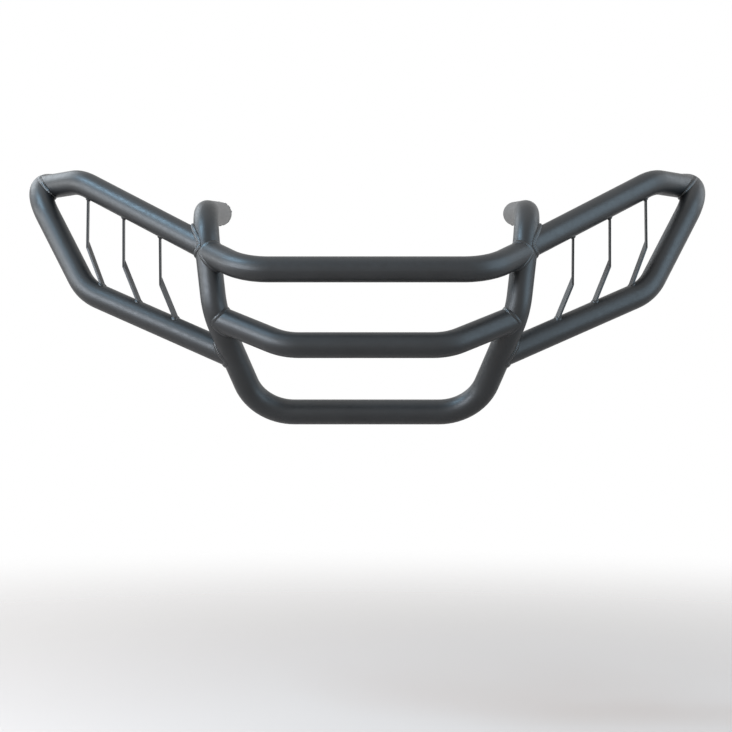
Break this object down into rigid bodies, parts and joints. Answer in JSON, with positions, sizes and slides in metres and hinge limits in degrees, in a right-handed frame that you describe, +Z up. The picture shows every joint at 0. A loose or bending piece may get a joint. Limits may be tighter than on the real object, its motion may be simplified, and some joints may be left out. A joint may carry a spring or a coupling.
{
  "type": "atv front bumper",
  "caption": "Tubular front bumper for an ATV: a bent hoop with bowed crossbars, swept side wings with folded guard strips, and bolt-on brackets, in black powder-coated steel.",
  "frame": {"origin": "midway between the two lower bolt holes, on the rear faces of the lower brackets", "axes": "+X to the right as seen from in front, +Y to the rear (towards the vehicle), +Z up"},
  "size_m": [1.0622, 0.4344, 0.3899],
  "materials": {
    "black_coat": "black powder coat, semi-matt"
  },
  "bodies": {
    "root": {"main_hoop": "black_coat", "upper_crossbar": "black_coat", "middle_crossbar": "black_coat", "outer_wing_tube_right": "black_coat", "outer_wing_tube_left": "black_coat", "upper_wing_tube_right": "black_coat", "upper_wing_tube_left": "black_coat", "guard_strip_inner_right": "black_coat", "guard_strip_inner_left": "black_coat", "guard_strip_middle_right": "black_coat", "guard_strip_middle_left": "black_coat", "guard_strip_outer_right": "black_coat", "guard_strip_outer_left": "black_coat", "wing_end_cap_right": "black_coat", "wing_end_cap_left": "black_coat", "arm_end_plate_right": "black_coat", "arm_end_plate_left": "black_coat", "upper_mount_tab_right": "black_coat", "upper_mount_tab_left": "black_coat", "lower_bracket_right": "black_coat", "lower_bracket_left": "black_coat"}
  },
  "joints": []
}
